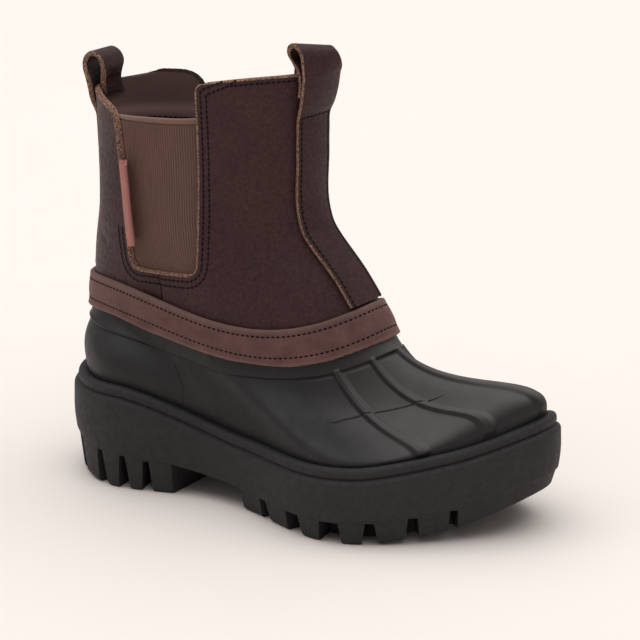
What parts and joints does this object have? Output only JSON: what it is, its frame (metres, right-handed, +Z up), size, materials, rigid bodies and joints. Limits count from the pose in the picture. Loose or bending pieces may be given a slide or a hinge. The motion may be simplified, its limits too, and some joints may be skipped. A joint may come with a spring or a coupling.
{
  "type": "winter boot",
  "caption": "Child's pull-on winter boot for the right foot: lugged rubber sole and moulded rubber shell under a brown leather shaft with elastic side gores, a leather band and pull loops",
  "frame": {"origin": "on the floor under the middle of the boot's box, which is the sole's outline from above", "axes": "+X from heel to toe, +Y to the inner side of the foot, +Z up"},
  "size_m": [0.212, 0.093, 0.1895],
  "materials": {
    "sole_rubber": "matte black moulded rubber, finely stippled",
    "shell_rubber": "smooth black moulded rubber with a soft sheen",
    "shaft_leather": "dark brown full-grain leather with raw tan edges",
    "band_leather": "matte reddish-brown nubuck",
    "gore_elastic": "ribbed brown elastic webbing",
    "insole_felt": "grey wool felt",
    "tag_leather": "plain reddish-brown folded leather tab"
  },
  "bodies": {
    "root": {"outsole": "sole_rubber", "insole": "insole_felt", "rubber_shell": "shell_rubber", "leather_shaft": "shaft_leather", "gore_outer": "gore_elastic", "gore_inner": "gore_elastic", "band": "band_leather", "pull_strap_front": "shaft_leather", "pull_strap_back": "shaft_leather", "tag": "tag_leather"}
  },
  "joints": []
}
